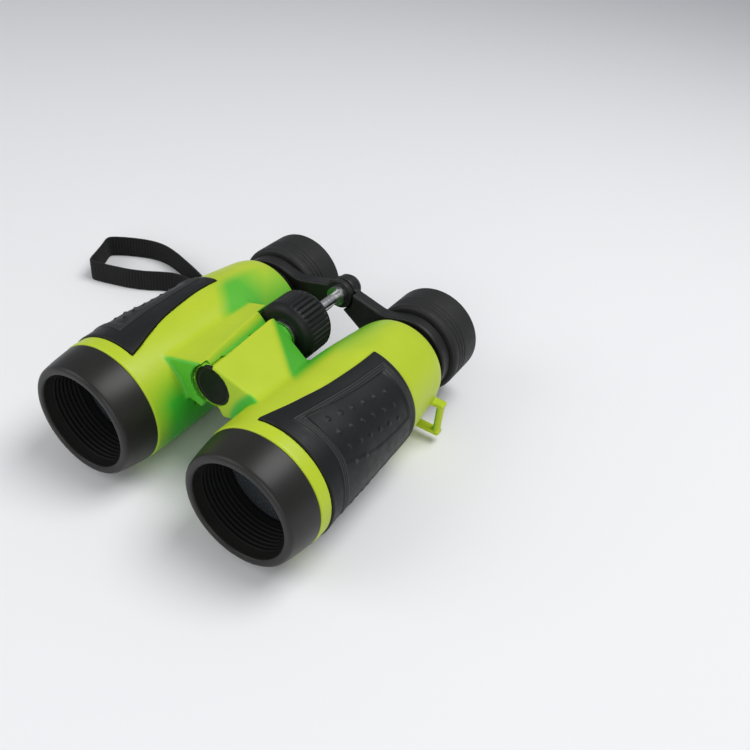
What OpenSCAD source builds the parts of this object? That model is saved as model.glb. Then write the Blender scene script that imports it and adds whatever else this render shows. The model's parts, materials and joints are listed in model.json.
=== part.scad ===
// Child-size binoculars with a centre hinge and a centre focus wheel.
// Y runs from the objectives to the eyepieces, X across and Z up.
// The object rests on z = 0 with its middle over the origin.

/* [Overall] */
// Length from the objective rims to the eyecup rims
total_length = 112; // [110:1:116]
// Distance between the barrel axes as the object rests
eye_spacing = 58.2; // [57.6:0.2:59]
// Height of the barrel axes above the table
axis_height = 20.8; // [20.8:0.1:21.5]
// Height of the hinge axis above the barrel axes
hinge_rise = 13.1; // [12.8:0.1:13.4]

/* [Objectives] */
// Outer radius of the objective ring at its back edge
ring_r = 20; // [19.8:0.1:20.2]
// Length of the objective ring that shows
ring_length = 10.9; // [10:0.1:12]
// Radius of the mouth that a push-in cap fits
mouth_r = 15.6; // [15.5:0.1:15.9]
// Radius of the objective lens
lens_r = 15.9; // [15.7:0.1:16]
// Ribs on the wall in front of the lens
rib_count = 7; // [4:1:9]

/* [Grip] */
// Thickness of the rubber armour
grip_thick = 2; // [1.6:0.1:2.2]
// How far the rubber stands above the widest part of the shell
grip_proud = 0.5; // [0.2:0.1:0.5]
// Angle from straight up at which the grip starts, towards the inside
grip_start = 8; // [4:1:14]
// Angle from straight up at which the grip ends, round under the barrel
grip_end = 205; // [190:1:215]

/* [Focus] */
// Outer radius of the focus wheel
wheel_r = 10.6; // [9.8:0.1:11]
// Grooves round the focus wheel
wheel_grooves = 36; // [24:1:48]
// Radius of the threaded focus rod
rod_r = 1.82; // [1.7:0.02:1.84]

/* [Eyepieces] */
// Outer radius of the sliding eyepiece tube
tube_r = 12.05; // [11.9:0.05:12.05]
// Outer radius of the rubber eyecup
cup_r = 16.6; // [16:0.1:17]
// Radius of the eye lens
eye_lens_r = 7.9; // [7:0.1:8]

/* [Strap] */
// Width of the woven carry loop
strap_w = 9; // [8:0.5:9.5]
// Thickness of the woven carry loop
strap_t = 1; // [0.8:0.1:1.2]

/* [Hidden] */
$fn = 96;

// Distances called at are measured along the barrel from the objective rims.
front = -total_length / 2;
half = eye_spacing / 2;
hinge_z = axis_height + hinge_rise;
big = 60;
gap = 0.3;           // clearance between curved faces that pass each other
running = 0.05;      // radial clearance of a shaft in its hole

shell_back = 85.6;   // where the green shell ends
spigot_r = 17.4;
spigot_at = 6.5;
lens_at = 17.2;      // rim of the lens
seat_at = 20.4;      // shoulder behind the lens
seat_r = 14.9;
wing_front = 24.2;
wing_back = 57;
left_corner = 13;    // where the back edge of each wing turns forward, from the hinge axis
right_corner = 0.5;
boss_at = 24.9;
boss_r = 7;
knuckle_r = 5.6;
pin_r = 3;
knuckle_cuts = [33, 33.3, 47, 47.3];   // right knuckle, gap, left knuckle, gap, right knuckle
wheel_at = 58.1;
wheel_end = 72;
arm_at = 90;
arm_end = 95;
cup_at = 95.2;
tube_end = 103;
lug_at = 80.8;        // middle of the strap lug's bar
lug_in = 4;           // from the barrel axis to the root of the lug, inside the wall
lug_out = 21.2;       // from the barrel axis to the lug's outer end
lug_bar = 19.8;       // from the barrel axis to the lug's bar
lug_bar_r = 1.3;
lug_long = 3.4;
lug_low = -17.4;
lug_slot = 10;
lug_wall = 1.6;
grip_at = 15.3;
grip_back = 58;
grip_r = 20.3 + grip_proud;

// Outer line of the barrel shell, as [radius, at].
shell_line = [
    [20.2, ring_length], [20.25, 14], [20.3, 24], [20.1, 33], [19.8, 42],
    [19.6, 52], [19.2, 62], [18.6, 69], [17.9, 76], [17, 83], [16.2, shell_back]
];
// Line of the shell under the grip, between the grip's two ends.
grip_line = [[20.25, grip_at], [20.3, 24], [20.1, 33], [19.8, 42], [19.6, 52], [19.4, grip_back]];

function moved(line, d) = [for (p = line) [p[0] + d, p[1]]];

// ---- helpers ----

// Puts a piece drawn round the origin, Y along its axis, on the right barrel's axis.
module on_barrel() {
    translate([half, front, axis_height]) children();
}
// The same for the hinge axis.
module on_hinge() {
    translate([0, front, hinge_z]) children();
}
// Mirrors a right-hand piece to the left when side is -1.
module sided(side) {
    mirror([side < 0 ? 1 : 0, 0, 0]) children();
}
// Turns an outline of [radius, at] points round the Y axis, from a start that is low on the inside.
module turned(line) {
    rotate([-90, 0, 0]) rotate([0, 0, 150]) rotate_extrude() polygon(line);
}
// A disc or rod along Y.
module rod(r, from, to) {
    translate([0, from, 0]) rotate([-90, 0, 0]) cylinder(r = r, h = to - from);
}
module washer(r_out, r_in, from, to) {
    difference() {
        rod(r_out, from, to);
        rod(r_in, from - 1, to + 1);
    }
}
// The part of a turned outline from the grip's first edge round to its last.
module grip_sector(line) {
    rotate([-90, 0, 0]) rotate([0, 0, -grip_start - 90])
        rotate_extrude(angle = grip_start + grip_end) polygon(line);
}

// ---- barrel shells and hinge ----

module barrel_solid() {
    turned(concat([[0, spigot_at], [spigot_r, spigot_at], [spigot_r, ring_length]],
        shell_line, [[0, shell_back]]));
}
module barrel_hollow() {
    turned([
        [0, spigot_at - 1], [lens_r, spigot_at - 1], [lens_r, seat_at], [seat_r, seat_at],
        [seat_r, 38], [14.2, 50], [tube_r + running, 64], [tube_r + running, shell_back + 1],
        [0, shell_back + 1]
    ]);
}
// Cross-section of the bridge wing on the right, seen from the front, [x, height over the barrel axis].
module wing_outline() {
    polygon([
        [0.6, 20.7], [16.5, 16.4], [26, 12], [26, 3], [8.7, 4.7], [3.9, 3.6],
        [2.8, 5.3], [1.6, 7.6], [0.6, 9]
    ]);
}
module wing_solid(corner) {
    difference() {
        translate([0, front + wing_back, axis_height]) rotate([90, 0, 0])
            linear_extrude(height = wing_back - wing_front) wing_outline();
        // back edge, swept forward towards the barrel from the corner
        translate([corner, front + wing_back, axis_height - 5]) rotate([0, 0, -45])
            cube([40, 40, 40]);
        // hollow of the moulding, open underneath
        translate([0, front + 44, axis_height]) rotate([90, 0, 0])
            linear_extrude(height = 44 - wing_front - 2.2)
                polygon([[8.2, 16.3], [12.5, 15.2], [12.5, 0], [8.2, 0]]);
    }
}
module strap_lug() {
    translate([half, front, axis_height]) {
        for (z = [lug_low, lug_low + lug_slot + lug_wall])
            translate([lug_in, lug_at - lug_long / 2, z]) cube([lug_out - lug_in, lug_long, lug_wall]);
        translate([lug_bar, lug_at, lug_low + lug_wall / 2])
            cylinder(r = lug_bar_r, h = lug_slot + lug_wall);
    }
}
module shell_pin_hole(r) {
    on_hinge() rod(r, boss_at - 2, wing_back + 1);
}
module left_knuckle() {
    on_hinge() rod(knuckle_r, knuckle_cuts[1], knuckle_cuts[2]);
}
module right_knuckles() {
    on_hinge() {
        rod(boss_r, boss_at, knuckle_cuts[0]);
        rod(knuckle_r, knuckle_cuts[3], wing_back);
    }
}
module left_body() {
    color("yellowgreen") difference() {
        union() {
            sided(-1) {
                on_barrel() barrel_solid();
                wing_solid(left_corner);
                strap_lug();
            }
            left_knuckle();
        }
        sided(-1) on_barrel() {
            barrel_hollow();
            grip_sector(concat(moved(grip_line, grip_proud - grip_thick),
                [[big, grip_back], [big, grip_at]]));
        }
        // room for the other half's knuckles as it folds
        on_hinge() {
            rod(boss_r + gap, wing_front - 1, knuckle_cuts[0] + gap);
            rod(knuckle_r + gap, knuckle_cuts[2], wing_back + 1);
        }
        // groove along the top that widens towards the back
        translate([-0.6, front + 27, hinge_z + 5.9]) rotate([0, 0, 5]) cube([8, big, 10]);
        shell_pin_hole(pin_r);
    }
}
module right_body() {
    color("yellowgreen") difference() {
        union() {
            on_barrel() barrel_solid();
            wing_solid(right_corner);
            strap_lug();
            right_knuckles();
        }
        on_barrel() {
            barrel_hollow();
            grip_sector(concat(moved(grip_line, grip_proud - grip_thick),
                [[big, grip_back], [big, grip_at]]));
        }
        on_hinge() {
            rod(knuckle_r + gap, knuckle_cuts[0], knuckle_cuts[3]);
            rod(6.3, boss_at - 1, 26.4);
            rod(4.7, boss_at - 1, 28.9);
        }
        shell_pin_hole(pin_r + running);
    }
}

// ---- grips ----

// The outside is straight, so that the pair rests level on its two grips.
module grip(side) {
    color("darkslategray") sided(side) on_barrel()
        grip_sector(concat(moved(grip_line, grip_proud - grip_thick),
            [[grip_r - 0.5, grip_back], [grip_r, grip_back - 1.5],
             [grip_r, grip_at + 1.5], [grip_r - 0.2, grip_at]]));
}

// ---- objectives ----

rib_from = 3;
rib_pitch = (spigot_at + 7 - rib_from) / rib_count;
module objective_ring(side) {
    ribs = [for (i = [rib_count - 1:-1:0], p = [[15.3, 0.9], [15, 0.5], [15, 0.3], [15.3, 0]])
        [p[0], rib_from + rib_pitch * (i + p[1])]];
    color("dimgray") sided(side) on_barrel() turned(concat(
        [[mouth_r, 0.5], [16.2, 0.05], [17.2, 0], [18, 0.35], [18.4, 1.1],
         [19, 4], [19.6, 7.5], [ring_r, ring_length],
         [spigot_r, ring_length], [spigot_r, spigot_at], [lens_r, spigot_at], [lens_r, 14]],
        [[15.3, 14]], ribs, [[mouth_r, rib_from - 0.1]]));
}
module objective_retainer(side) {
    color("black") sided(side) on_barrel() washer(lens_r, 14.7, 14, lens_at - 0.25);
}
module objective_lens(side) {
    bulge_r = 74;
    color("lightsteelblue", 0.6) sided(side) on_barrel() intersection() {
        rod(lens_r, 12, seat_at);
        translate([0, 15.5 + bulge_r, 0]) sphere(r = bulge_r, $fn = 200);
    }
}
module baffle_tube(side) {
    color("black") sided(side) on_barrel() turned([
        [seat_r, seat_at], [seat_r, 23], [14.2, 25], [11.6, 62], [10.7, 62], [13.3, 25],
        [13.9, seat_at]
    ]);
}

// ---- hinge and focus ----

module hinge_pin() {
    color("silver") on_hinge() difference() {
        union() {
            rod(pin_r, 26.8, 64.2);
            rod(4.5, 26.8, 28.3);
        }
        rod(rod_r + running, 25, 66);
    }
}
module hinge_washer() {
    color("gray") on_hinge() washer(4.6, pin_r + running, 28.3, 28.9);
}
module hinge_cap() {
    color("black") on_hinge() difference() {
        turned([[0, 24.5], [3, 24.55], [5, 24.7], [6, 24.95], [6.3, 25.3], [6.3, 26.4], [0, 26.4]]);
        rod(2.2, 25.8, 27);
    }
}
module thrust_washer() {
    color("gray") on_hinge() washer(5.4, pin_r + running, wing_back + 0.1, wheel_at - 0.15);
}
module retaining_clip() {
    color("gray") on_hinge() difference() {
        washer(4.6, pin_r, 62.7, 63.5);
        translate([-1.6, 62, -6]) cube([3.2, 2, 4]);
    }
}
module focus_wheel() {
    color("dimgray") on_hinge() difference() {
        turned([
            [0, wheel_at], [8.6, wheel_at], [9.8, 59], [wheel_r, 60], [wheel_r, 70],
            [9.8, 71], [8.6, wheel_end], [0, wheel_end]
        ]);
        for (i = [0:wheel_grooves - 1]) rotate([0, i * 360 / wheel_grooves, 0])
            translate([wheel_r, 60.4, 0]) rotate([0, 45, 0]) translate([-0.4, 0, -0.4])
                cube([0.8, 9.2, 0.8]);
        rod(pin_r + running, wheel_at - 1, wheel_end + 1);
        rod(6, 62.5, wheel_end + 1);
    }
}
module focus_nut() {
    color("darkgoldenrod") on_hinge() washer(6, rod_r + running, 66, 71.5);
}
module focus_rod() {
    color("silver") on_hinge() {
        rod(rod_r, 50, 98);
        rod(3.4, 88, arm_at);
    }
}
module rod_nut() {
    color("black") on_hinge() difference() {
        turned([[0, arm_end + 0.2], [4.8, arm_end + 0.2], [4.8, 97], [4, 98.4], [0, 98.8]]);
        rod(rod_r, arm_end, 98);
    }
}

// ---- eyepieces ----

arm_angle = atan2(hinge_rise, half);
arm_span = sqrt(half * half + hinge_rise * hinge_rise);
// The arm that carries an eyepiece; its hub takes the slice of the rod from hub_from to hub_to.
module eyepiece_arm(side, hub_from, hub_to, hole_r) {
    color("black") sided(side) on_hinge() rotate([0, arm_angle, 0]) difference() {
        union() {
            rod(5.2, hub_from, hub_to);
            difference() {
                translate([0, arm_end, 0]) rotate([90, 0, 0])
                    linear_extrude(height = arm_end - arm_at)
                        polygon([[0, -3.4], [arm_span, -9], [arm_span, 9], [0, 3.4]]);
                rod(5.6, arm_at - 1, hub_from);
                rod(5.6, hub_to, arm_end + 1);
            }
            translate([arm_span, 0, 0]) rod(14.6, arm_at, arm_end);
        }
        translate([arm_span, 0, 0]) rod(tube_r, arm_at - 1, arm_end + 1);
        rod(hole_r, arm_at - 1, arm_end + 1);
    }
}
module eyepiece_tube(side) {
    color("black") sided(side) on_barrel() turned([
        [10.8, 66], [tube_r, 66], [tube_r, 89.2], [12.7, 89.2], [12.7, arm_at],
        [tube_r, arm_at], [tube_r, tube_end], [eye_lens_r, tube_end], [eye_lens_r, 98.6],
        [7, 98.6], [7, 95], [10.8, 92]
    ]);
}
module eye_lens(side) {
    dish_r = 22;
    color("lightsteelblue", 0.6) sided(side) on_barrel() difference() {
        rod(eye_lens_r, 98.6, 101.4);
        translate([0, 100.4 + dish_r, 0]) sphere(r = dish_r);
    }
}
module eye_lens_retainer(side) {
    color("black") sided(side) on_barrel() washer(eye_lens_r, 6.8, 101.4, 102.8);
}
module eyecup(side) {
    color("dimgray") sided(side) on_barrel() turned([
        [tube_r, cup_at], [cup_r - 0.8, cup_at], [cup_r, cup_at + 0.8], [cup_r, 106],
        [cup_r - 0.1, total_length - 1], [cup_r - 0.9, total_length],
        [cup_r - 1.7, total_length - 0.6], [cup_r - 2.2, 108], [cup_r - 2.4, tube_end],
        [tube_r, tube_end]
    ]);
}

// ---- carry loop ----

// Middle line of the webbing, [x, distance from the objective rims, height of its middle].
// It starts in the lug's slot, goes round the bar, runs out over the table, turns back
// and returns behind the bar into the slot.
loop_route = [
    [-46.7, 80.6, 10], [-47.1, 79.3, 10], [-48.2, 78.6, 10], [-49.6, 78.7, 10],
    [-50.8, 79.7, 9.9], [-52.4, 81.6, 9.5], [-56, 85, 8], [-62, 89.2, 6],
    [-68, 92.4, 4.8], [-74, 93.8, 4.6], [-80, 93, 4.6], [-85, 90.2, 4.6], [-90, 86.6, 4.6],
    [-96, 83.4, 4.6], [-102, 81.2, 4.6], [-108, 79.3, 4.6], [-111.8, 78.6, 4.6],
    [-113.6, 80.2, 4.6], [-115.8, 85, 4.6], [-118.4, 90.6, 4.6], [-120.8, 95.6, 4.6],
    [-119.6, 98.2, 4.6], [-115, 101.6, 4.6], [-109.6, 104.6, 4.6], [-104, 106.6, 4.6],
    [-98, 107, 4.6], [-91, 105.6, 4.6], [-84, 103.4, 4.6], [-78, 101.4, 4.6],
    [-72, 99, 4.7], [-66, 95.8, 5.4], [-60.6, 92, 6.8], [-55.8, 87.8, 8.6],
    [-52.4, 84.7, 9.7], [-49.9, 83, 10], [-48, 82.6, 10], [-46.9, 81.9, 10],
    [-46.7, 81.1, 10]
];
function unit(v) = v / norm(v);
function heading(p, i) = unit([
    p[min(i + 1, len(p) - 1)][0] - p[max(i - 1, 0)][0],
    p[min(i + 1, len(p) - 1)][1] - p[max(i - 1, 0)][1]
]);
module ribbon(p, w, t) {
    n = len(p);
    points = [for (i = [0:n - 1], c = [[-t, -w], [t, -w], [t, w], [-t, w]] / 2)
        let (h = heading(p, i))
        [p[i][0] - h[1] * c[0], p[i][1] + h[0] * c[0], p[i][2] + c[1]]];
    sides = [for (i = [0:n - 2], k = [0:3]) let (a = 4 * i + k, b = 4 * i + (k + 1) % 4)
        each [[a, b, a + 4], [b, b + 4, a + 4]]];
    polyhedron(points, concat([[0, 3, 2], [0, 2, 1]], sides,
        [[4 * n - 4, 4 * n - 3, 4 * n - 2], [4 * n - 4, 4 * n - 2, 4 * n - 1]]));
}
module carry_loop() {
    color("black") translate([0, front, 0]) ribbon(loop_route, strap_w, strap_t);
}

left_body();
right_body();
grip(-1);  // left_grip
grip(1);  // right_grip
objective_ring(-1);  // left_objective_ring
objective_ring(1);  // right_objective_ring
objective_retainer(-1);  // left_objective_retainer
objective_retainer(1);  // right_objective_retainer
objective_lens(-1);  // left_objective_lens
objective_lens(1);  // right_objective_lens
baffle_tube(-1);  // left_baffle_tube
baffle_tube(1);  // right_baffle_tube
hinge_pin();
hinge_washer();
hinge_cap();
thrust_washer();
retaining_clip();
focus_wheel();
focus_nut();
focus_rod();
rod_nut();
eyepiece_arm(-1, arm_at, 92.4, rod_r);  // left_eyepiece_arm
eyepiece_arm(1, 92.6, arm_end, rod_r + running);  // right_eyepiece_arm
eyepiece_tube(-1);  // left_eyepiece_tube
eyepiece_tube(1);  // right_eyepiece_tube
eye_lens(-1);  // left_eye_lens
eye_lens(1);  // right_eye_lens
eye_lens_retainer(-1);  // left_eye_lens_retainer
eye_lens_retainer(1);  // right_eye_lens_retainer
eyecup(-1);  // left_eyecup
eyecup(1);  // right_eyecup
carry_loop();
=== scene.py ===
"""The looks of a pair of child-size binoculars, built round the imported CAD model.

Sizes are in millimetres: x across from the hinge axis, positive towards a barrel on either side,
at along the barrel from the objective rims, and h up from the barrel axis. in_metres() turns them
into the row frame.
"""
import json
import math

import bpy
import numpy as np
from mathutils import Matrix, Vector


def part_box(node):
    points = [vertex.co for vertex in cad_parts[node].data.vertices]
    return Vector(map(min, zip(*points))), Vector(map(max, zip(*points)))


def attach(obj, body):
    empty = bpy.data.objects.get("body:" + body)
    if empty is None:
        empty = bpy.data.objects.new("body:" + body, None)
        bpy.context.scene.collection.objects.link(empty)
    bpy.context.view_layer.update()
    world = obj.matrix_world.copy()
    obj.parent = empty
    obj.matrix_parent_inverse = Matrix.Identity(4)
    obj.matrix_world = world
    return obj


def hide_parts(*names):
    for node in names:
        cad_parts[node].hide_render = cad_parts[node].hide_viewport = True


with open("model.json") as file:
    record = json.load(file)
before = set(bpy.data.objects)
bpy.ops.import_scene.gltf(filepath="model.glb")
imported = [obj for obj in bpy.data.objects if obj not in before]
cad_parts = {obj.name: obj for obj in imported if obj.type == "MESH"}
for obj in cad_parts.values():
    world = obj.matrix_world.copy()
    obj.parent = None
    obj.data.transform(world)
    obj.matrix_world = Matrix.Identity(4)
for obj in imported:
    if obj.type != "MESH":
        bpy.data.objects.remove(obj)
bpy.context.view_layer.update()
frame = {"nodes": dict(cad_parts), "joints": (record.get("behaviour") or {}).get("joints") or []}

MM = 0.001
ring_low, ring_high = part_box("right_objective_ring")
FRONT = ring_low.y
AXIS_Z = (ring_low.z + ring_high.z) / 2
HALF = (ring_low.x + ring_high.x) / 2 / MM
hinge = next(j for j in frame["joints"] if j["name"] == "eye_spacing_hinge")
HINGE_H = (hinge["pos_m"][2] - AXIS_Z) / MM
RIGHT, LEFT = 1, -1
SIDES = ((RIGHT, "right"), (LEFT, "left"))


# ---- camera and light ----

def aim_camera():
    """The camera: place in metres, direction in degrees round the object, roll, and lens in mm."""
    azimuth, elevation, roll = map(math.radians, (27.51, 37.6, 7.28))
    back = Vector((math.sin(azimuth) * math.cos(elevation),
                   -math.cos(azimuth) * math.cos(elevation), math.sin(elevation)))
    right = (-back).cross(Vector((0, 0, 1))).normalized()
    up = right.cross(-back)
    across = right * math.cos(roll) + up * math.sin(roll)
    upward = up * math.cos(roll) - right * math.sin(roll)
    camera = bpy.data.objects.new("camera", bpy.data.cameras.new("camera"))
    bpy.context.scene.collection.objects.link(camera)
    camera.matrix_world = Matrix.Translation((0.12309, -0.16738, 0.18223)) @ Matrix(
        (across, upward, back)).transposed().to_4x4()
    camera.data.lens, camera.data.sensor_width = 38.26, 36
    camera.data.clip_start, camera.data.clip_end = 0.005, 20
    bpy.context.scene.camera = camera


def area_light(name, place, target, size, watts, colour=(1, 1, 1)):
    data = bpy.data.lights.new(name, "AREA")
    data.shape, data.size, data.energy, data.color = "DISK", size, watts, colour
    light = bpy.data.objects.new(name, data)
    bpy.context.scene.collection.objects.link(light)
    light.location = place
    light.rotation_euler = (Vector(place) - Vector(target)).to_track_quat("Z", "Y").to_euler()


def studio():
    bpy.context.scene.view_settings.view_transform = "Standard"
    area_light("key", (0.25, 0.2, 0.75), (0, 0, 0), 0.5, 4.2)
    area_light("fill", (-0.5, -0.5, 0.45), (0, 0, 0), 0.6, 1.9)
    area_light("front", (0.3, -0.8, 0.35), (0, 0, 0), 0.6, 2.4)
    world = bpy.data.worlds.new("studio")
    world.use_nodes = True
    background = world.node_tree.nodes["Background"]
    background.inputs["Color"].default_value = (0.93, 0.95, 1, 1)
    background.inputs["Strength"].default_value = 0.34
    bpy.context.scene.world = world


aim_camera()
studio()


# ---- materials ----

class Shader:
    """A node material: a Principled shader with helpers that wire textures into it."""

    def __init__(self, name, roughness=0.5, **values):
        self.material = bpy.data.materials.new(name)
        self.material.use_nodes = True
        self.tree = self.material.node_tree
        self.surface = self.tree.nodes["Principled BSDF"]
        self.surface.inputs["Roughness"].default_value = roughness
        for socket, value in values.items():
            self.surface.inputs[socket.replace("_", " ")].default_value = value
        self.place = self.node("ShaderNodeTexCoord").outputs["Object"]

    def node(self, kind, inputs=(), **settings):
        made = self.tree.nodes.new(kind)
        for key, value in settings.items():
            setattr(made, key, value)
        for key, value in dict(inputs).items():
            if isinstance(value, bpy.types.NodeSocket):
                self.tree.links.new(value, made.inputs[key])
            else:
                made.inputs[key].default_value = value
        return made

    def noise(self, scale, detail=3, stretch=(1, 1, 1)):
        spread = self.node("ShaderNodeMapping", {"Vector": self.place, "Scale": stretch})
        return self.node("ShaderNodeTexNoise", {"Vector": spread.outputs[0], "Scale": scale,
                                                "Detail": detail}).outputs["Fac"]

    def attribute(self, name):
        return self.node("ShaderNodeAttribute", attribute_name=name).outputs["Fac"]

    def between(self, factor, low, high, start=0.0, end=1.0):
        """factor from start to end, taken to low to high."""
        return self.node("ShaderNodeMapRange", {
            "Value": factor, "From Min": start, "From Max": end, "To Min": low,
            "To Max": high}).outputs[0]

    def mix(self, factor, a, b):
        made = self.node("ShaderNodeMix", data_type="RGBA")
        for socket, value in ((0, factor), (6, a), (7, b)):
            if isinstance(value, bpy.types.NodeSocket):
                self.tree.links.new(value, made.inputs[socket])
            else:
                made.inputs[socket].default_value = value if socket == 0 else (*value, 1)
        return made.outputs[2]

    def colour(self, socket):
        self.tree.links.new(socket, self.surface.inputs["Base Color"])

    def rough(self, socket):
        self.tree.links.new(socket, self.surface.inputs["Roughness"])

    def bump(self, height, distance):
        made = self.node("ShaderNodeBump", {"Height": height, "Distance": distance,
                                            "Strength": 1.0})
        self.tree.links.new(made.outputs[0], self.surface.inputs["Normal"])
        return self


def moulded(name, dark, light, rough, grain, depth, **values):
    """Moulded plastic or rubber: cloudy colour, a fine grain in the surface and uneven gloss."""
    made = Shader(name, **values)
    cloud = made.noise(90, 4)
    made.colour(made.mix(made.between(cloud, 0, 1, 0.3, 0.7), dark, light))
    made.rough(made.between(made.noise(400, 3), rough - 0.06, rough + 0.06, 0.3, 0.7))
    return made.bump(made.noise(grain, 2), depth).material


def lime_plastic():
    """Lime, going over to a painted shade of darker green where painted_shade() puts shade."""
    made = Shader("lime_shell_plastic", Specular_IOR_Level=0.3)
    cloud = made.between(made.noise(70, 4), 0, 1, 0.3, 0.7)
    bright = made.mix(cloud, (0.42, 0.54, 0.02), (0.46, 0.58, 0.025))
    # Painted shade: the green the lime turns to where the depth attribute is high.
    shaded_green = made.mix(cloud, (0.045, 0.42, 0.03), (0.055, 0.46, 0.035))
    made.colour(made.mix(made.attribute("depth"), bright, shaded_green))
    made.rough(made.between(made.noise(350, 3), 0.33, 0.43, 0.3, 0.7))
    return made.bump(made.noise(2600, 2), 0.000012).material


def ring_plastic():
    """Satin black, with the ribbed wall inside the mouth darker and rougher."""
    made = Shader("ring_plastic", Specular_IOR_Level=0.32)
    cloud = made.between(made.noise(90, 4), 0, 1, 0.3, 0.7)
    satin = made.mix(cloud, (0.011, 0.0108, 0.01), (0.016, 0.0152, 0.0135))
    inside = made.attribute("inside")
    made.colour(made.mix(inside, satin, (0.005, 0.005, 0.005)))
    made.rough(made.between(inside, 0.4, 0.62))
    return made.bump(made.noise(3500, 2), 0.000014).material


def grip_rubber():
    """Black rubber, with a painted highlight where the moulded ribs and nubs stand up."""
    made = Shader("grip_rubber", Specular_IOR_Level=0.25)
    cloud = made.between(made.noise(90, 4), 0, 1, 0.3, 0.7)
    rubber = made.mix(cloud, (0.0055, 0.0065, 0.0066), (0.009, 0.0102, 0.0104))
    # Painted highlight: a paler colour on the ribs and nubs.
    painted_highlight = made.between(made.attribute("painted_highlight"), 0, 0.75)
    made.colour(made.mix(painted_highlight, rubber, (0.05, 0.052, 0.05)))
    made.rough(made.between(made.noise(400, 3), 0.42, 0.54, 0.3, 0.7))
    return made.bump(made.noise(2400, 2), 0.000016).material


def eyecup_rubber():
    return moulded("eyecup_rubber", (0.009, 0.009, 0.009), (0.014, 0.014, 0.014), 0.6, 2000,
                   0.000025, Specular_IOR_Level=0.35)


def black_plastic():
    return moulded("black_plastic", (0.008, 0.008, 0.0085), (0.012, 0.012, 0.0125), 0.42, 3200,
                   0.00001, Specular_IOR_Level=0.35)


def cap_plastic():
    return moulded("cap_plastic", (0.0035, 0.004, 0.0038), (0.006, 0.0066, 0.0062), 0.36, 3600,
                   0.000006, Specular_IOR_Level=0.25)


def matte_black():
    return moulded("baffle_black", (0.004, 0.004, 0.004), (0.006, 0.006, 0.006), 0.75, 2500,
                   0.00001, Specular_IOR_Level=0.2)


def metal(name, colour, rough, stretch):
    """Metal with fine scratches, drawn out by stretch along each axis."""
    made = Shader(name, Metallic=1.0)
    scratch = made.noise(500, 4, stretch)
    tone = tuple(0.82 * c for c in colour)
    made.colour(made.mix(made.between(scratch, 0, 1, 0.35, 0.65), tone, colour))
    made.rough(made.between(scratch, rough - 0.07, rough + 0.09, 0.3, 0.7))
    return made.bump(scratch, 0.000004).material


def lens_glass(name, tint, clear):
    """Coated glass: tint is its colour, and clear is how much light goes through, from 0 to 1."""
    made = Shader(name, Transmission_Weight=clear, IOR=1.5, Coat_Weight=0.3, Coat_Roughness=0.03)
    haze = made.noise(60, 2)
    made.colour(made.mix(made.between(haze, 0, 1, 0.35, 0.65), tint,
                         tuple(0.93 * c for c in tint)))
    made.rough(made.between(haze, 0.02, 0.06, 0.3, 0.7))
    return made.material


def webbing():
    """Black thread, with a painted highlight on the crests across the strap."""
    made = Shader("black_webbing", Specular_IOR_Level=0.2, Sheen_Weight=0.12,
                  Sheen_Roughness=0.5)
    thread = made.noise(2600, 3)
    worn = made.between(made.noise(160, 3), 0, 1, 0.35, 0.7)
    thread_black = made.mix(worn, (0.002, 0.002, 0.0022), (0.005, 0.005, 0.0053))
    # Painted highlight: a paler colour on the crests of the weave.
    made.colour(made.mix(made.attribute("painted_highlight"), thread_black, (0.02, 0.02, 0.0205)))
    made.rough(made.between(thread, 0.7, 0.9, 0.3, 0.7))
    return made.bump(thread, 0.00005).material


MATERIALS = {
    "lime": lime_plastic(), "ring": ring_plastic(), "grip": grip_rubber(),
    "cup": eyecup_rubber(), "black": black_plastic(), "cap": cap_plastic(),
    "matte": matte_black(), "steel": metal("steel", (0.62, 0.62, 0.63), 0.28, (1, 8, 1)),
    "brass": metal("brass", (0.78, 0.56, 0.24), 0.3, (1, 6, 1)),
    "objective": lens_glass("objective_glass", (0.06, 0.07, 0.077), 0.3),
    "eye": lens_glass("eye_lens_glass", (0.86, 0.9, 0.92), 0.9), "webbing": webbing(),
}


# ---- meshes ----

def in_metres(points, side=RIGHT):
    """Points in mm as [x, at, h], on the right or the left, in the row frame."""
    points = np.asarray(points, float)
    return np.stack([side * points[..., 0] * MM, FRONT + points[..., 1] * MM,
                     AXIS_Z + points[..., 2] * MM], -1)


def piece(name, points, faces, material, body, side=RIGHT, normals=None, slot=None, replaces=()):
    """A named mesh piece that rides on a CAD body. Points are in mm, as in_metres() takes them."""
    mesh = bpy.data.meshes.new(name)
    if side == LEFT:
        faces = [f[::-1] for f in faces] if isinstance(faces, list) else faces[:, ::-1]
    mesh.from_pydata(in_metres(points, side).tolist(), [],
                     faces if isinstance(faces, list) else faces.tolist())
    mesh.shade_smooth()
    if normals is not None:
        mesh.normals_split_custom_set_from_vertices((normals * (side, 1, 1)).tolist())
    mesh.materials.append(MATERIALS[material])
    made = bpy.data.objects.new(name, mesh)
    bpy.context.scene.collection.objects.link(made)
    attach(made, body)
    if replaces:
        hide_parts(*replaces)
    return made


def paint(made, name, values):
    """A value for each point of a piece, which its material reads by name."""
    layer = made.data.attributes.new(name, "FLOAT", "POINT")
    layer.data.foreach_set("value", np.asarray(values, np.float32))


def grid_quads(n, m, closed_n=False, closed_m=False):
    """Quads between the points of an n by m grid, which may close on itself either way."""
    i, j = np.meshgrid(np.arange(n if closed_n else n - 1), np.arange(m if closed_m else m - 1),
                       indexing="ij")
    i2, j2 = (i + 1) % n, (j + 1) % m
    return np.stack([i * m + j, i * m + j2, i2 * m + j2, i2 * m + j], -1).reshape(-1, 4)


def smooth_min(a, b, k):
    """The lower of two distances, with a fillet about k wide where they meet."""
    h = np.maximum(k - np.abs(a - b), 0) / k
    return np.minimum(a, b) - h * h * k / 4


def smooth_max(a, b, k):
    return -smooth_min(-a, -b, k)


def slab(v, low, high):
    """Distance to the stretch from low to high, negative inside it."""
    return np.maximum(low - v, v - high)


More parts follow.
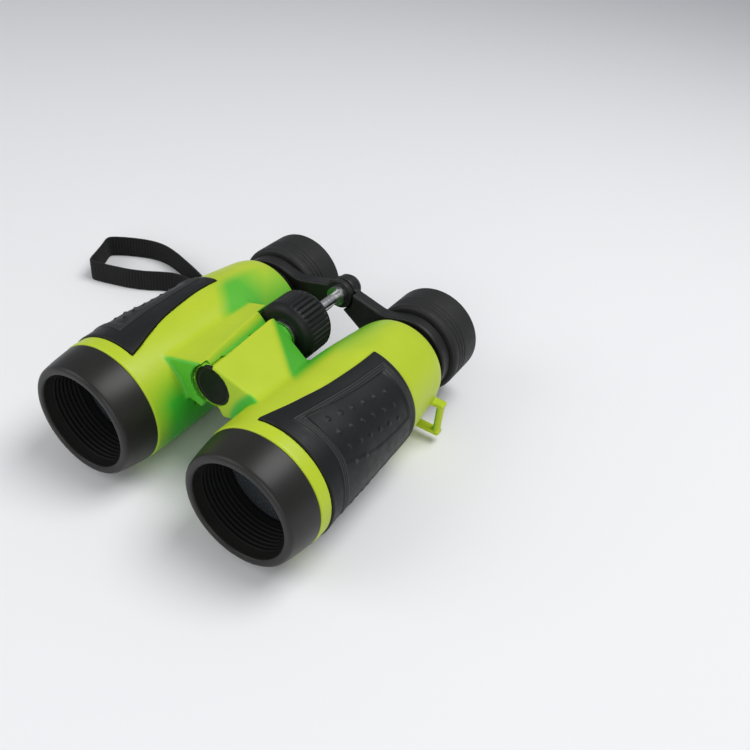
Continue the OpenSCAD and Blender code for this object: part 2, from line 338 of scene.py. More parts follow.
def polygon_distance(u, v, corners):
    """Signed distance to a polygon in the plane, negative inside."""
    corners = np.asarray(corners, float)
    best, sign = None, 1.0
    for (au, av), (bu, bv) in zip(corners, np.roll(corners, 1, 0)):
        eu, ev, wu, wv = bu - au, bv - av, u - au, v - av
        t = np.clip((wu * eu + wv * ev) / (eu * eu + ev * ev), 0, 1)
        gap = (wu - eu * t) ** 2 + (wv - ev * t) ** 2
        best = gap if best is None else np.minimum(best, gap)
        above, below = v >= av, v < bv
        left = eu * wv > ev * wu
        sign = np.where((above & below & left) | (~above & ~below & ~left), -sign, sign)
    return sign * np.sqrt(best)


def inset(corners, r):
    """The polygon with each edge moved in by r, so that adding r back rounds its corners."""
    p = np.asarray(corners, float)
    area = np.sum(p[:, 0] * np.roll(p[:, 1], -1) - np.roll(p[:, 0], -1) * p[:, 1])
    out = []
    for a, b, c in zip(np.roll(p, 1, 0), p, np.roll(p, -1, 0)):
        n = [np.array([-(q - o)[1], (q - o)[0]]) / np.hypot(*(q - o)) * np.sign(area)
             for o, q in ((a, b), (b, c))]
        out.append(np.linalg.solve(np.array(n), [n[0] @ b + r, n[1] @ b + r]))
    return np.array(out)


def slope(field, p, step=0.04):
    """The gradient of a distance field at points, by small steps each way."""
    out = []
    for axis in range(3):
        d = np.zeros(3)
        d[axis] = step
        out.append(field(*(p + d).T) - field(*(p - d).T))
    return np.stack(out, -1) / (2 * step)


def surface(field, low, high, step):
    """The surface where a distance field is 0, as points, quads and normals: one point in each
    cell of a grid that the surface passes through, then moved onto the surface."""
    low = np.array(low, float)
    axes = [np.arange(a, b + step, step) for a, b in zip(low, high)]
    f = field(axes[0][:, None, None], axes[1][None, :, None], axes[2][None, None, :])
    f = np.broadcast_to(f, [len(a) for a in axes])
    solid = f < 0
    n = np.array(solid.shape) - 1
    count = sum(solid[i:n[0] + i, j:n[1] + j, k:n[2] + k].astype(np.int8)
                for i in (0, 1) for j in (0, 1) for k in (0, 1))
    cells = np.argwhere((count > 0) & (count < 8))
    index = np.full(n, -1)
    index[tuple(cells.T)] = np.arange(len(cells))
    total, crossings = np.zeros((len(cells), 3)), np.zeros(len(cells))
    quads = []
    for axis in range(3):
        unit = np.eye(3, dtype=int)[axis]
        u, v = np.eye(3, dtype=int)[(axis + 1) % 3], np.eye(3, dtype=int)[(axis + 2) % 3]
        for shift in (0 * u, u, v, u + v):
            a = cells + shift
            fa, fb = f[tuple(a.T)], f[tuple((a + unit).T)]
            cross = (fa < 0) != (fb < 0)
            t = np.where(cross, fa / np.where(cross, fa - fb, 1), 0)
            total += np.where(cross[:, None], a + t[:, None] * unit, 0)
            crossings += cross
        inner = [slice(1, -1)] * 3
        inner[axis] = slice(0, -1)
        ahead = list(inner)
        ahead[axis] = slice(1, None)
        edge = np.argwhere(solid[tuple(inner)] != solid[tuple(ahead)]) + u + v
        corners = [index[tuple((edge - s).T)] for s in (u + v, v, 0 * u, u)]
        quad = np.stack(corners, -1)
        flip = ~solid[tuple(edge.T)]
        quad[flip] = quad[flip][:, ::-1]
        quads.append(quad)
    p = low + step * total / crossings[:, None]
    for _ in range(3):
        g = slope(field, p)
        move = field(*p.T) / np.maximum((g * g).sum(-1), 0.2)
        p = p - g * np.clip(move, -0.6 * step, 0.6 * step)[:, None]
    g = slope(field, p)
    return p, np.concatenate(quads), g / np.maximum(np.linalg.norm(g, axis=1), 1e-9)[:, None]


def rounded(corners, steps=5):
    """A line of [radius, at, fillet] corners, with each corner turned into an arc."""
    out = []
    p = [np.array(c[:2], float) for c in corners]
    for i, c in enumerate(corners):
        fillet = c[2] if len(c) > 2 else 0
        if not fillet:
            out.append(p[i])
            continue
        a, b = p[i - 1] - p[i], p[(i + 1) % len(p)] - p[i]
        reach = min(fillet, 0.49 * np.hypot(*a), 0.49 * np.hypot(*b))
        a, b = p[i] + a / np.hypot(*a) * reach, p[i] + b / np.hypot(*b) * reach
        out += [(1 - t) ** 2 * a + 2 * t * (1 - t) * p[i] + t * t * b
                for t in np.linspace(0, 1, steps)]
    return np.array(out)


def turned(name, outline, material, body, centre, side=RIGHT, around=160, ripple=None, **facts):
    """A lathed piece round an axis along the barrel. outline is a closed line of [radius, at].
    ripple(angle, radius, at) moves the radius, for grooves that run along the axis."""
    phi = np.linspace(0, 2 * np.pi, around, endpoint=False)
    radius, at = np.broadcast_arrays(outline[:, 0], outline[:, 1])
    r = np.repeat(radius[None], around, 0)
    if ripple:
        r = r + ripple(phi[:, None], radius[None], at[None])
    points = np.stack([centre[0] + r * np.sin(phi)[:, None], np.repeat(at[None], around, 0),
                       centre[1] + r * np.cos(phi)[:, None]], -1)
    quads = grid_quads(around, len(outline), True, True)
    area = np.sum(radius * np.roll(at, -1) - np.roll(radius, -1) * at)
    made = piece(name, points.reshape(-1, 3), quads if area < 0 else quads[:, ::-1], material,
                 body, side, **facts)
    weld = made.modifiers.new("weld", "WELD")
    weld.merge_threshold = 1e-6
    made.data.set_sharp_from_angle(angle=math.radians(35))
    return made


# ---- carry loop ----

# Middle line of the webbing, as [x, at, height over the table], as in the CAD model.
LOOP_ROUTE = [
    (-46.7, 80.6, 10), (-47.1, 79.3, 10), (-48.2, 78.6, 10), (-49.6, 78.7, 10),
    (-50.8, 79.7, 9.9), (-52.4, 81.6, 9.5), (-56, 85, 8), (-62, 89.2, 6),
    (-68, 92.4, 4.8), (-74, 93.8, 4.6), (-80, 93, 4.6), (-85, 90.2, 4.6), (-90, 86.6, 4.6),
    (-96, 83.4, 4.6), (-102, 81.2, 4.6), (-108, 79.3, 4.6), (-111.8, 78.6, 4.6),
    (-113.6, 80.2, 4.6), (-115.8, 85, 4.6), (-118.4, 90.6, 4.6), (-120.8, 95.6, 4.6),
    (-119.6, 98.2, 4.6), (-115, 101.6, 4.6), (-109.6, 104.6, 4.6), (-104, 106.6, 4.6),
    (-98, 107, 4.6), (-91, 105.6, 4.6), (-84, 103.4, 4.6), (-78, 101.4, 4.6),
    (-72, 99, 4.7), (-66, 95.8, 5.4), (-60.6, 92, 6.8), (-55.8, 87.8, 8.6),
    (-52.4, 84.7, 9.7), (-49.9, 83, 10), (-48, 82.6, 10), (-46.9, 81.9, 10),
    (-46.7, 81.1, 10),
]
WEB_WIDTH, WEB_THICK, WEB_RIB, WEAVE = 9, 1, 0.62, 0.1
THREADS, SELVEDGE = 13, 0.25


def along_route(points, step):
    """A smooth line through the points, with a point every step mm."""
    p = np.array(points, float)
    p = np.concatenate([[2 * p[0] - p[1]], p, [2 * p[-1] - p[-2]]])
    t = np.linspace(0, 1, 24, endpoint=False)[:, None]
    fine = [0.5 * (2 * b + (c - a) * t + (2 * a - 5 * b + 4 * c - d) * t ** 2
                   + (3 * b - a - 3 * c + d) * t ** 3)
            for a, b, c, d in zip(p, p[1:], p[2:], p[3:])]
    fine = np.concatenate(fine + [p[-2:-1]])
    run = np.concatenate([[0], np.cumsum(np.linalg.norm(np.diff(fine, axis=0), axis=1))])
    s = np.linspace(0, run[-1], int(run[-1] / step) + 1)
    return np.stack([np.interp(s, run, fine[:, k]) for k in range(3)], -1), s


def carry_loop():
    """The strap: a woven band on edge, swept along the route, thinner at its two selvedges."""
    line, s = along_route(LOOP_ROUTE, WEB_RIB / 5)
    flat = np.gradient(line[:, :2], axis=0)
    flat /= np.linalg.norm(flat, axis=1)[:, None]
    across = np.stack([-flat[:, 1], flat[:, 0], 0 * s], -1)
    half = WEB_WIDTH / 2
    widths = np.concatenate([[-half + 0.02], np.linspace(-half + SELVEDGE, half - SELVEDGE, THREADS),
                             [half - 0.02]])
    edge = np.array([0.45] + [1.0] * THREADS + [0.45])
    shift = 0.125 * (np.arange(len(widths)) % 2)[None]
    weave = np.cos(2 * np.pi * (s[:, None] / WEB_RIB + shift))
    thick = (WEB_THICK / 2 - WEAVE + WEAVE * weave) * edge
    front = line[:, None] + across[:, None] * thick[..., None]
    back = line[:, None] - across[:, None] * thick[..., None]
    front[..., 2] += widths
    back[..., 2] += widths
    ring = np.concatenate([front, back[:, ::-1]], 1)
    n, m = ring.shape[:2]
    faces = grid_quads(n, m, closed_m=True).tolist()
    faces += [list(range(m))[::-1], [(n - 1) * m + k for k in range(m)]]
    ring[..., 2] -= AXIS_Z / MM
    made = piece("carry_loop_webbing", ring.reshape(-1, 3), faces, "webbing", "left_half",
                 slot="webbing", replaces=["carry_loop"])
    # Painted highlight on the crests of the weave.
    crest = 0.5 + 0.5 * np.cos(np.pi * s / WEB_RIB)
    paint(made, "painted_highlight", np.repeat(0.6 * crest, m))


carry_loop()


# ---- barrel shells ----

def eased(points, count=400):
    """A smooth line through (u, v) points, as two rows for np.interp."""
    u, v = np.array(points, float).T
    m = np.gradient(v, u)
    t = np.linspace(u[0], u[-1], count)
    i = np.clip(np.searchsorted(u, t) - 1, 0, len(u) - 2)
    h = u[i + 1] - u[i]
    s = (t - u[i]) / h
    return t, ((2 * s ** 3 - 3 * s ** 2 + 1) * v[i] + (s ** 3 - 2 * s ** 2 + s) * h * m[i]
               + (3 * s ** 2 - 2 * s ** 3) * v[i + 1] + (s ** 3 - s ** 2) * h * m[i + 1])


BAND_AT, SHELL_BACK = 10.9, 85.6
SHELL_LINE = eased([(BAND_AT, 20.2), (14, 20.25), (24, 20.3), (33, 20.1), (42, 19.8), (52, 19.6),
                    (62, 19.2), (69, 18.6), (76, 17.9), (83, 17), (SHELL_BACK, 16.3)])
BORE_LINE = ((0, 20.4, 20.41, 38, 50, 64, 90), (15.9, 15.9, 14.9, 14.9, 14.2, 12.2, 12.2))
# The grip's edges: angles are as in angle_round().
GRIP_AT, GRIP_REAR, GRIP_END = 15.6, 62.4, 205
GRIP_DEEP, GRIP_PROUD = 1.5, 0.5
GRIP_TOP = {
    RIGHT: eased([(14, -18), (15.3, -16.6), (19.4, -12), (25.6, -6), (29.2, -3.6), (36.2, 0.8),
                  (46, 4.2), (54.3, 6), (59.9, 6.4), (64, 6)]),
    LEFT: eased([(14, -22), (15.6, -21), (18.9, -18.4), (26.2, -11.4), (32.8, -5.6), (39.5, -1.2),
                 (46, 1.9), (52.3, 4.2), (57.8, 4.8), (64, 4)]),
}
ARC = math.radians(1) * 20.3
PLATE_TOP, PLATE_FALL = 20.7, 4.3 / 15.9
WING = inset([(-4, PLATE_TOP + 4.6 * PLATE_FALL), (20, PLATE_TOP - 19.4 * PLATE_FALL), (26, 12),
              (26, 3), (8.7, 4.7), (3.9, 3.6), (2.8, 5.3), (1.6, 7.6), (-4, 7.6)], 0.5)
WING_FRONT = {RIGHT: 24.2, LEFT: 23.6}
WING_BACK = {RIGHT: 55.6, LEFT: 63}
LIP = ((25, 34, 60), (3.6, 5.4, 9.6))
# Hinge, from the front: cap in its boss, neck and rear knuckle on the right half, and the
# knuckle between them on the left half. Each pair gives where a piece starts and ends.
PIN_R, KNUCKLE_R, REAR_KNUCKLE_R, NECK_R, BOSS_R, CAP_R = 3, 5.6, 4.9, 5.35, 7.12, 6.46
CAP_FRONT, CAP_END = 24.9, 25.9
BOSS, NECK, KNUCKLE, REAR_KNUCKLE = (24.4, 26.7), (26, 33), (33.3, 47), (47.3, 57)
BOSS_END = BOSS[1]
BOSS_FLAT, KNUCKLE_ROOM = 5.8, 5.9
CAP_STEM_R, CAP_STEM_END = 4.75, 28.95
WHEEL_ROOM, WHEEL_AT = 11, 57.5
LUG_TABS, LUG_TAB_THICK, LUG_AT, LUG_REACH = (-17.4, -5.8), 1.6, (79.1, 82.5), 21.2
SHELL_STEP, ARM_STEP = 0.52, 0.42


def angle_round(x, h):
    """Degrees round the barrel: 0 straight up, 90 outwards, up to 270."""
    angle = np.degrees(np.arctan2(x - HALF, h))
    return np.where(angle < -90, angle + 360, angle)


def grip_outline(at, angle, side):
    """Distance in mm from the grip's edge, negative inside it."""
    top = np.interp(at, *GRIP_TOP[side])
    along = np.maximum(GRIP_AT - at, at - GRIP_REAR)
    return smooth_max(along, np.maximum(top - angle, angle - GRIP_END) * ARC, 0.5)


def rounded_box(x, at, h, low, high, r):
    """Distance to a box between two corners, with its edges rounded by r."""
    parts = [np.maximum(np.maximum(a - v, v - b) + r, 0)
             for v, a, b in zip((x, at, h), low, high)]
    return np.sqrt(sum(p * p for p in parts)) - r


def above_plate(x, h):
    """Height over the bridge's sloping top."""
    return h - PLATE_TOP + PLATE_FALL * (x - 0.6)


def wing(x, at, h, side):
    """The half of the bridge on one side: a plate that falls away outwards, with a face in
    front and an edge along the hinge. The right one has its back swept forward to the barrel.
    The left one rises to a lip, inside which it slopes down into a groove."""
    lean = 0.065 * (at - 24)
    if side == RIGHT:
        d = polygon_distance(x, h, WING) - 0.5
        d = smooth_max(d, slab(at, WING_FRONT[side], WING_BACK[side]), 0.9)
        swept = 0.45 * (0.8 * x + at - 53.1) + 0.75 * above_plate(x, h)
        return smooth_max(smooth_max(d, swept, 1.2), 0.3 - lean - x, 0.5)
    rise = 0.09 * np.clip(12.5 - x, 0, 6) * np.clip((at - 36) / 14, 0, 1)
    d = polygon_distance(x, h - rise, WING) - 0.5
    d = smooth_max(d, slab(at, WING_FRONT[side], WING_BACK[side]), 1.3)
    lip = np.interp(at, *LIP)
    groove = 0.7 * (above_plate(lip, h - rise) + 0.95 * (lip - x))
    return smooth_max(smooth_max(d, groove, 0.45), 0.5 + lean - x, 0.5)


def shell(side):
    """The distance field of a barrel shell: tube, half bridge, strap lug and hinge knuckles, less
    the room for the other half, the pin, the grip and the bore."""
    def field(x, at, h):
        from_axis = np.hypot(x - HALF, h)
        from_hinge = np.hypot(x, h - HINGE_H)
        radius = np.interp(at, *SHELL_LINE)
        barrel = smooth_max(from_axis - radius, slab(at, BAND_AT, SHELL_BACK), 0.9)
        d = smooth_min(barrel, wing(x, at, h, side), 1.5)
        for low in LUG_TABS:
            tab = rounded_box(x, at, h, (HALF + 4, LUG_AT[0], low),
                              (HALF + LUG_REACH, LUG_AT[1], low + LUG_TAB_THICK), 0.5)
            d = smooth_min(d, tab, 1.2)
        bar = np.maximum(np.hypot(x - HALF - LUG_REACH + 1.4, at - sum(LUG_AT) / 2) - 1.3,
                         slab(h, -17, -4.6))
        d = smooth_min(d, bar, 0.5)
        if side == RIGHT:
            boss = smooth_max(from_hinge - BOSS_R, slab(at, *BOSS), 0.2)
            boss = np.maximum(boss, np.minimum(h - HINGE_H - BOSS_FLAT, 0.6 - x))
            d = smooth_min(d, boss, 0.4)
            d = smooth_min(d, np.maximum(from_hinge - NECK_R, slab(at, *NECK)), 0.4)
            d = smooth_min(d, np.maximum(from_hinge - REAR_KNUCKLE_R, slab(at, *REAR_KNUCKLE)), 0.4)
            gap = slab(at, NECK[1], REAR_KNUCKLE[0])
            d = smooth_max(d, -np.maximum(from_hinge - KNUCKLE_ROOM, gap), 0.3)
            d = smooth_max(d, -np.maximum(from_hinge - CAP_R, at - CAP_END - 0.05), 0.12)
            d = smooth_max(d, -np.maximum(from_hinge - CAP_STEM_R, at - CAP_STEM_END), 0.25)
        else:
            behind_boss = at - BOSS_END - 0.2
            d = smooth_min(d, np.maximum(from_hinge - KNUCKLE_R, slab(at, *KNUCKLE)), 0.4)
            d = smooth_max(d, -np.maximum(from_hinge - BOSS_R - 0.2, behind_boss), 0.1)
            notch = np.maximum(slab(x, -1, 3.7), np.maximum(HINGE_H + 4 - h, behind_boss))
            d = smooth_max(d, -notch, 0.3)
            neck_room = NECK_R + 0.1 + 1.7 * np.clip((HINGE_H - h) / 4, 0, 1)
            d = smooth_max(d, -np.maximum(from_hinge - neck_room, at - KNUCKLE[0]), 0.15)
            d = smooth_max(d, -np.maximum(from_hinge - KNUCKLE_ROOM, slab(at, KNUCKLE[1], 60)), 0.3)
            d = smooth_max(d, -np.maximum(from_hinge - WHEEL_ROOM, WHEEL_AT - at), 0.8)
        d = smooth_max(d, PIN_R + 0.05 - from_hinge, 0.2)
        hollow = np.maximum(polygon_distance(
            x, h, [(8.2, 16.3), (12.5, 15.2), (12.5, 0), (8.2, 0)]), slab(at, 26.6, 44))
        d = smooth_max(d, -hollow, 0.5)
        pocket = np.maximum(grip_outline(at, angle_round(x, h), side),
                            radius - GRIP_DEEP - from_axis)
        d = smooth_max(d, -pocket, 0.45)
        return smooth_max(d, np.interp(at, *BORE_LINE) - from_axis, 0.3)
    return field


def painted_shade(points, normals, side):
    """Painted shade, from 0 to 1, that turns the lime to a darker green: most where a face turns
    in towards the hinge, lies behind the bridge or in front under it, or sinks between the barrels."""
    x, at, h = points.T
    from_axis, from_hinge = np.hypot(x - HALF, h), np.hypot(x, h - HINGE_H)
    # Painted shade on faces turned in towards the hinge, low down and at the rear, and on faces
    # turned to the front.
    turned_in = np.clip(-1.1 * normals[:, 0], 0, 1)
    inward = turned_in * np.clip((15 - h) / 9, 0, 1) * np.clip((at - 8) / 10, 0.3, 1)
    rear = 0.8 * np.clip(1.3 * turned_in - 0.1, 0, 1) * np.clip((at - 54) / 6, 0, 1)
    lean = np.clip(np.degrees(np.arctan2(HALF - x, h)), -20, 40)
    # Painted shadow behind the bridge: strong on the left barrel, faint on the right.
    behind = np.clip((at - 58.3 + 0.28 * lean) / 6.2, 0, 1) * np.clip((lean + 6) / 14, 0, 1)
    behind = behind * np.clip((84 - at) / 17, 0, 1) * np.clip((21.2 - from_axis) / 1.2, 0, 1)
    behind = behind * (0.88 if side == LEFT else 0.15)
    near_barrel = np.clip((24 - from_axis) / 1.5, 0, 1)
    front = np.clip(-1.8 * normals[:, 1], 0, 1) * (at > 20) * (x < 21)
    front = front * (0.9 if side == LEFT else 0.12 + 0.85 * near_barrel)
    if side == LEFT:
        # Painted shade down in the left half's groove and on the wall of its recess round the boss.
        sunk = (x < np.interp(at, *LIP) - 0.3) * (slab(at, 24, 62) < 0) * (h > 10)
        local = sunk * 0.9 * np.clip((-above_plate(x, h) - 0.3) / 2.2, 0, 1)
        local = np.maximum(local, 0.9 * (from_hinge < BOSS_R + 0.3) * (at < BOSS_END))
    else:
        # Painted shade on the boss rim round the cap and on the swept back of the right plate.
        rim = (slab(from_hinge, CAP_R - 0.3, BOSS_R + 0.38) < 0) * (x < 0.6) * (at < BOSS_END + 0.2)
        swept = np.clip((at + 0.8 * x - 52.3) / 2.2, 0, 1) * np.clip((22 - x) / 5, 0, 1)
        swept = swept * np.clip((66 - at) / 8, 0, 1) * (h > 2)
        local = np.maximum(0.65 * rim, 0.92 * swept)
    return np.clip(np.maximum.reduce([inward, rear, behind, front, local]), 0, 1)


def barrel_shells():
    for side, word in SIDES:
        low = (-7.6 if side == RIGHT else -6.2, 10.3, -21.2)
        points, quads, normals = surface(shell(side), low, (51, 86.4, 22.4), SHELL_STEP)
        made = piece(word + "_shell", points, quads, "lime", word + "_half", side, normals,
                     "shell_plastic", [word + "_body"])
        # The depth attribute carries painted shade into the lime material.
        paint(made, "depth", painted_shade(points, normals, side))


barrel_shells()


# ---- grips ----

PANEL = np.array([(23.9, 12), (28.2, 15), (34.4, 19), (46, 23.5), (56.5, 26), (57.5, 40),
                  (57, 74), (50, 74.5), (43.2, 73), (37.9, 71), (31, 65), (24.2, 59), (24.1, 50),
                  (24, 42), (23.6, 28)])
FRAME = np.array([(20.3, 6.2), (25.1, 8.8), (34.9, 13.2), (46, 17.2), (60, 20), (60.5, 104),
                  (20.4, 104), (20.4, 82), (21, 70), (21.9, 54), (21.9, 42), (21.4, 30)])
FRAME_RIBS, FRAME_WIDTH, NUB_HIGH = 3, 2.3, 0.34


def relief(at, angle):
    """Height of the moulded pattern on the grip: a sunk panel of nubs in a ribbed frame."""
    reach = angle * ARC
    inner = polygon_distance(at, reach, PANEL * (1, ARC))
    outer = polygon_distance(at, reach, FRAME * (1, ARC))
    across = np.clip(-outer / FRAME_WIDTH, 0, 1)
    wave = 1 - np.cos(2 * np.pi * FRAME_RIBS * across)
    ribs = 0.11 * wave * np.clip(inner / 0.3, 0, 1)
    step = 0.12 * np.clip(0.5 - outer / 0.5, 0, 1)
    sunk = -0.25 * np.clip(0.5 - inner / 0.6, 0, 1)
    height = ribs + step + sunk
    for column in range(6):
        for row in range(4):
            nub_at, nub_angle = 28.1 + 4.75 * column, 25 + 3 * column + 13 * row
            if nub_angle < 70:
                gap = (at - nub_at) ** 2 + ((angle - nub_angle) * ARC) ** 2
                height = height + NUB_HIGH * np.exp(-(gap / 0.34) ** 1.5)
    return height


SWELL = eased([(15, -0.1), (21, 0.1), (26, 0.25), (33, 0.6), (39, 0.45), (48, 0.35), (58, 0.45),
               (63, 0.45)])


def swell(at, angle):
    """The grip is fuller at the top outside, slimmer low down and straight underneath."""
    level = np.interp(at, *SHELL_LINE) + GRIP_PROUD
    top = np.interp(at, *SWELL) * np.exp(-((angle - 52) / 34) ** 2)
    low = -0.6 * np.exp(-((angle - 128) / 26) ** 2) * np.clip((at - 15) / 5, 0, 1)
    return top + low + (20.8 - level) * np.exp(-((angle - 180) / 16) ** 2)


def graded(low, high, dense, coarse_from=math.inf):
    """Values from low to high, closer together at both ends and in the dense stretch, and
    further apart from coarse_from on."""
    fine = np.linspace(low, high, 4000)
    gap = np.where(slab(fine, *dense) < 0, 0.125, np.where(fine > coarse_from, 0.8, 0.36))
    gap = np.minimum(gap, 0.05 + 0.4 * np.minimum(fine - low, high - fine))
    count = np.concatenate([[0], np.cumsum(np.diff(fine) / gap[:-1])])
    return np.interp(np.linspace(0, count[-1], int(count[-1]) + 1), count, fine)


def grip_sheet(side):
    """A grip as points, quads and a painted highlight for each point, by how far it stands up in the
    moulded pattern.
    """
    seam, round_r = 0.14, 0.5
    at = graded(GRIP_AT + seam, GRIP_REAR - seam, (19.9, 24.7))
    top = np.interp(at, *GRIP_TOP[side]) + seam / ARC
    share = graded(0, (GRIP_END + 18) * ARC, (4.3, 8.8), 40)
    share = share / share[-1]
    angle = top[:, None] + share[None] * (GRIP_END - seam / ARC - top)[:, None]
    at = np.repeat(at[:, None], len(share), 1)
    depth = -grip_outline(at, angle, side) - seam
    drop = round_r - np.sqrt(np.clip(round_r ** 2 - np.clip(round_r - depth, 0, round_r) ** 2,
                                     0, None))
    fade = np.clip(depth / 1.2, 0, 1)
    base = np.interp(at, *SHELL_LINE) + GRIP_PROUD + swell(at, angle) * fade
    pattern = relief(at, angle) * fade
    outer = base + pattern - drop
    inner = np.interp(at, *SHELL_LINE) - GRIP_DEEP + 0.02

    def ring(radius):
        turn = np.radians(angle)
        return np.stack([HALF + radius * np.sin(turn), at, radius * np.cos(turn)], -1)

    n, m = angle.shape
    points = np.concatenate([ring(outer).reshape(-1, 3), ring(inner).reshape(-1, 3)])
    sheet = grid_quads(n, m)
    loop = np.concatenate([np.arange(m), (np.arange(1, n)) * m + m - 1,
                           (n - 1) * m + np.arange(m - 2, -1, -1), np.arange(n - 2, 0, -1) * m])
    ahead = np.roll(loop, -1)
    wall = np.stack([loop, loop + n * m, ahead + n * m, ahead], -1)
    # Painted highlight mask: high on the ribs and nubs, 0 on the inner sheet.
    painted_highlight = np.concatenate([np.clip((pattern.ravel() - 0.1) / 0.25, 0, 1), np.zeros(n * m)])
    return points, np.concatenate([sheet, sheet[:, ::-1] + n * m, wall]), painted_highlight


def grips():
    for side, word in SIDES:
        points, quads, painted_highlight = grip_sheet(side)
        made = piece(word + "_grip_armour", points, quads[:, ::-1], "grip", word + "_half", side,
                     slot="grip_rubber", replaces=[word + "_grip"])
        # Painted highlight on the ribs and nubs, read by grip_rubber().
        paint(made, "painted_highlight", painted_highlight)
        made.data.set_sharp_from_angle(angle=math.radians(50))


grips()


# ---- objectives, eyepieces, hinge cap and focus wheel ----

BARREL, HINGE = (HALF, 0), (0, HINGE_H)


def ring_outline():
    """The ring in front of a barrel, with the fine ribs on the wall inside its mouth."""
    rim = rounded([(15.55, 2.6), (15.55, 0, 0.9), (18.15, 0, 1.5), (19.05, 4.2, 6),
                   (20.0, BAND_AT, 0.35), (15.95, BAND_AT), (15.95, 14), (15.35, 14)], 8)
    at = np.linspace(13.4, 3.4, 100)
    ribs = 15.35 - 0.16 * (0.5 - 0.5 * np.cos(2 * np.pi * (at - 3.4) / 1.43))
    return np.concatenate([rim, np.stack([ribs, at], -1)])


def lens_outline(vertex, rim, back, r):
    """A lens with a domed front, from its vertex to its rim, and a flat back."""
    t = np.linspace(0, 1, 14)
    bulge = np.stack([r * t, vertex + (rim - vertex) * t * t], -1)
    return np.concatenate([bulge, [(r, back), (0, back)]])


def eyecup_outline():
    """A soft cup round the eyepiece, with three grooves outside and a thin skirt behind."""
    cup_r, groove_r = 16.6, 16.15
    outside = [(12.05, 95.2), (15.8, 95.2, 0.5), (cup_r, 96, 0.6)]
    for at in (98.2, 100.0, 101.8):
        outside += [(cup_r, at, 0.2), (groove_r, at + 0.35, 0.3), (cup_r, at + 0.7, 0.2)]
    return rounded(outside + [(cup_r, 106.5, 3), (16.55, 111.2, 0.9), (15.7, 112, 0.8),
                              (14.8, 111.2, 0.9), (14.4, 108, 2), (14.2, 103), (12.05, 103)], 6)


def wheel_outline():
    """The focus wheel, hollow behind. Its flat has many points, so that the grooves can end."""
    flat = [(10.6, at) for at in np.linspace(60.2, 69.8, 13)]
    return rounded([(3.05, 58.1), (8.6, 58.1, 0.6), (9.9, 59, 0.6)] + flat
                   + [(9.9, 71, 0.6), (8.6, 72, 0.6), (6, 72, 0.2), (6, 62.5), (3.05, 62.5)], 4)


def wheel_groove(phi, radius, at):
    """How far the grooves along the wheel's flat sink it."""
    groove = np.clip(np.cos(36 * phi), 0, 1) ** 2
    ends = np.clip((at - 60) / 0.9, 0, 1) * np.clip((70 - at) / 0.9, 0, 1)
    return -0.5 * groove * ends * (radius > 10.3)


def turned_pieces():
    for side, word in SIDES:
        half, eyepiece = word + "_half", word + "_eyepiece"
        outline = ring_outline()
        ring = turned(word + "_front_ring", outline, "ring", half, BARREL, side, 200,
                      slot="ring_plastic", replaces=[word + "_objective_ring"])
        paint(ring, "inside", np.tile((outline[:, 0] < 15.5) & (outline[:, 1] > 1.5), 200))
        stop = rounded([(15.3, 14.2, 0.15), (15.86, 14.2), (15.86, 15.85), (15.3, 15.85, 0.15)], 4)
        turned(word + "_lens_stop", stop, "matte", half, BARREL, side, 160,
               slot="black_plastic", replaces=[word + "_objective_retainer"])
        turned(word + "_front_lens", lens_outline(14.6, 15.95, 20.4, 15.86), "objective", half,
               BARREL, side, 128, slot="lens_glass", replaces=[word + "_objective_lens"])
        turned(word + "_rubber_eyecup", eyecup_outline(), "cup", eyepiece, BARREL, side, 160,
               slot="eyecup_rubber", replaces=[word + "_eyecup"])
    cap = rounded([(0, 24.72), (5.1, 24.72, 0.3), (5.4, 24.5, 0.3), (6.2, 24.52, 0.4),
                   (CAP_R - 0.05, CAP_FRONT, 0.3), (CAP_R - 0.05, CAP_END), (0, CAP_END)], 5)
    turned("hinge_button", cap, "cap", "right_half", HINGE, slot="black_plastic",
           replaces=["hinge_cap"])
    turned("focus_knob", wheel_outline(), "grip", "focus_wheel", HINGE, around=432,
           ripple=wheel_groove, slot="black_plastic", replaces=["focus_wheel"])


turned_pieces()

ARM_FRONT, ARM_BACK, TUBE_R, ARM_RING_R = 90, 95, 12.05, 14.6
HUB_R, HUB_ROOM_R, ROD_R = 5.2, 5.8, 1.87


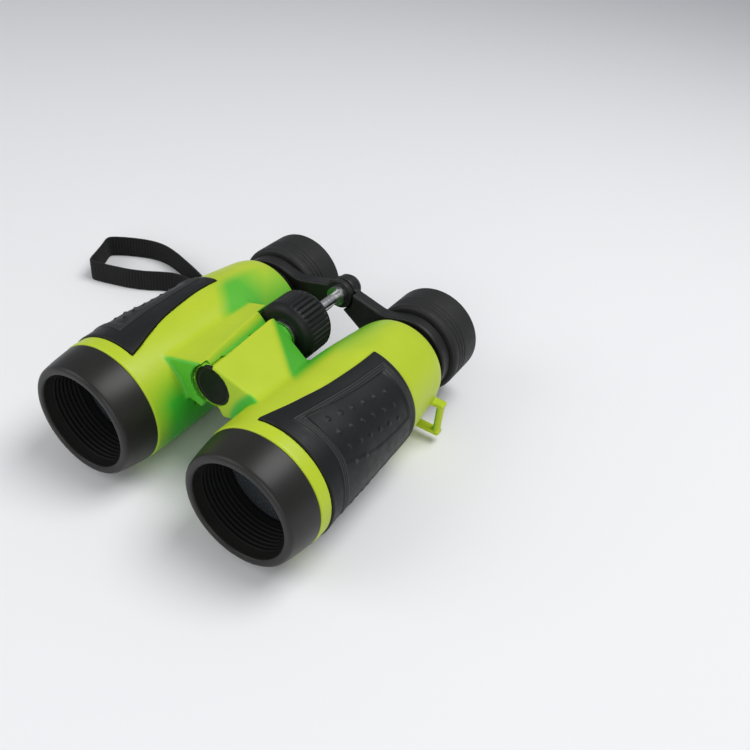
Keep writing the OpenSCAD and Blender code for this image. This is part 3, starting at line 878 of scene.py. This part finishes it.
def arm(side):
    """The plate from the focus rod to an eyepiece, with a ring round the tube. The two hubs sit
    one behind the other on the rod, and each plate leaves room for the other's hub."""
    span = math.hypot(HALF, HINGE_H)
    hub = (92.75, ARM_BACK) if side == RIGHT else (ARM_FRONT, 92.25)
    other = (ARM_FRONT - 1, 92.75) if side == RIGHT else (92.25, ARM_BACK + 1)

    def field(x, at, h):
        u = (x * HALF - (h - HINGE_H) * HINGE_H) / span
        w = (x * HINGE_H + (h - HINGE_H) * HALF) / span
        hub_r = np.hypot(u, w)
        ring = np.hypot(x - HALF, h) - ARM_RING_R
        plate = polygon_distance(u, w, [(0, -3.4), (span, -9), (span, 9), (0, 3.4)])
        d = smooth_max(smooth_min(ring, plate, 4), slab(at, ARM_FRONT, ARM_BACK), 0.9)
        d = smooth_max(d, -np.maximum(hub_r - HUB_ROOM_R, slab(at, *other)), 0.3)
        d = smooth_min(d, smooth_max(hub_r - HUB_R, slab(at, *hub), 0.5), 0.4)
        well = np.maximum(polygon_distance(u, w, [(7.5, -2.4), (15.5, -3.8), (15.5, 3.8),
                                                  (7.5, 2.4)]), ARM_BACK - 1.2 - at)
        d = smooth_max(d, -well, 0.5)
        d = smooth_max(d, ROD_R - hub_r, 0.2)
        return smooth_max(d, TUBE_R - np.hypot(x - HALF, h), 0.4)
    return field


def eyepiece_arms():
    for side, word in SIDES:
        points, quads, normals = surface(arm(side), (-6, 89.4, -15.4), (HALF + 15.4, 95.6, 19.4),
                                         ARM_STEP)
        piece(word + "_arm", points, quads, "black", word + "_eyepiece", side, normals,
              "black_plastic", [word + "_eyepiece_arm"])


eyepiece_arms()


# ---- CAD nodes that stay, by the material they get ----

KEPT = {
    "matte": ["left_baffle_tube", "right_baffle_tube"],
    "steel": ["hinge_pin", "hinge_washer", "thrust_washer", "retaining_clip", "focus_rod"],
    "brass": ["focus_nut"],
    "black": ["rod_nut", "left_eyepiece_tube", "right_eyepiece_tube",
              "left_eye_lens_retainer", "right_eye_lens_retainer"],
    "eye": ["left_eye_lens", "right_eye_lens"],
}
for material, names in KEPT.items():
    for name in names:
        for place in frame["nodes"][name].material_slots:
            place.link = "OBJECT"
            place.material = MATERIALS[material]


# ---- floor ----

def lay_floor():
    side = 3
    mesh = bpy.data.meshes.new("floor")
    mesh.from_pydata([(-side, -side, 0), (side, -side, 0), (side, side, 0), (-side, side, 0)],
                     [], [(0, 1, 2, 3)])
    made = Shader("pale_floor", roughness=0.7, Specular_IOR_Level=0.2)
    made.colour(made.mix(made.noise(3, 2), (0.8, 0.8, 0.81), (0.82, 0.82, 0.83)))
    mesh.materials.append(made.material)
    floor = bpy.data.objects.new("floor", mesh)
    bpy.context.scene.collection.objects.link(floor)


lay_floor()
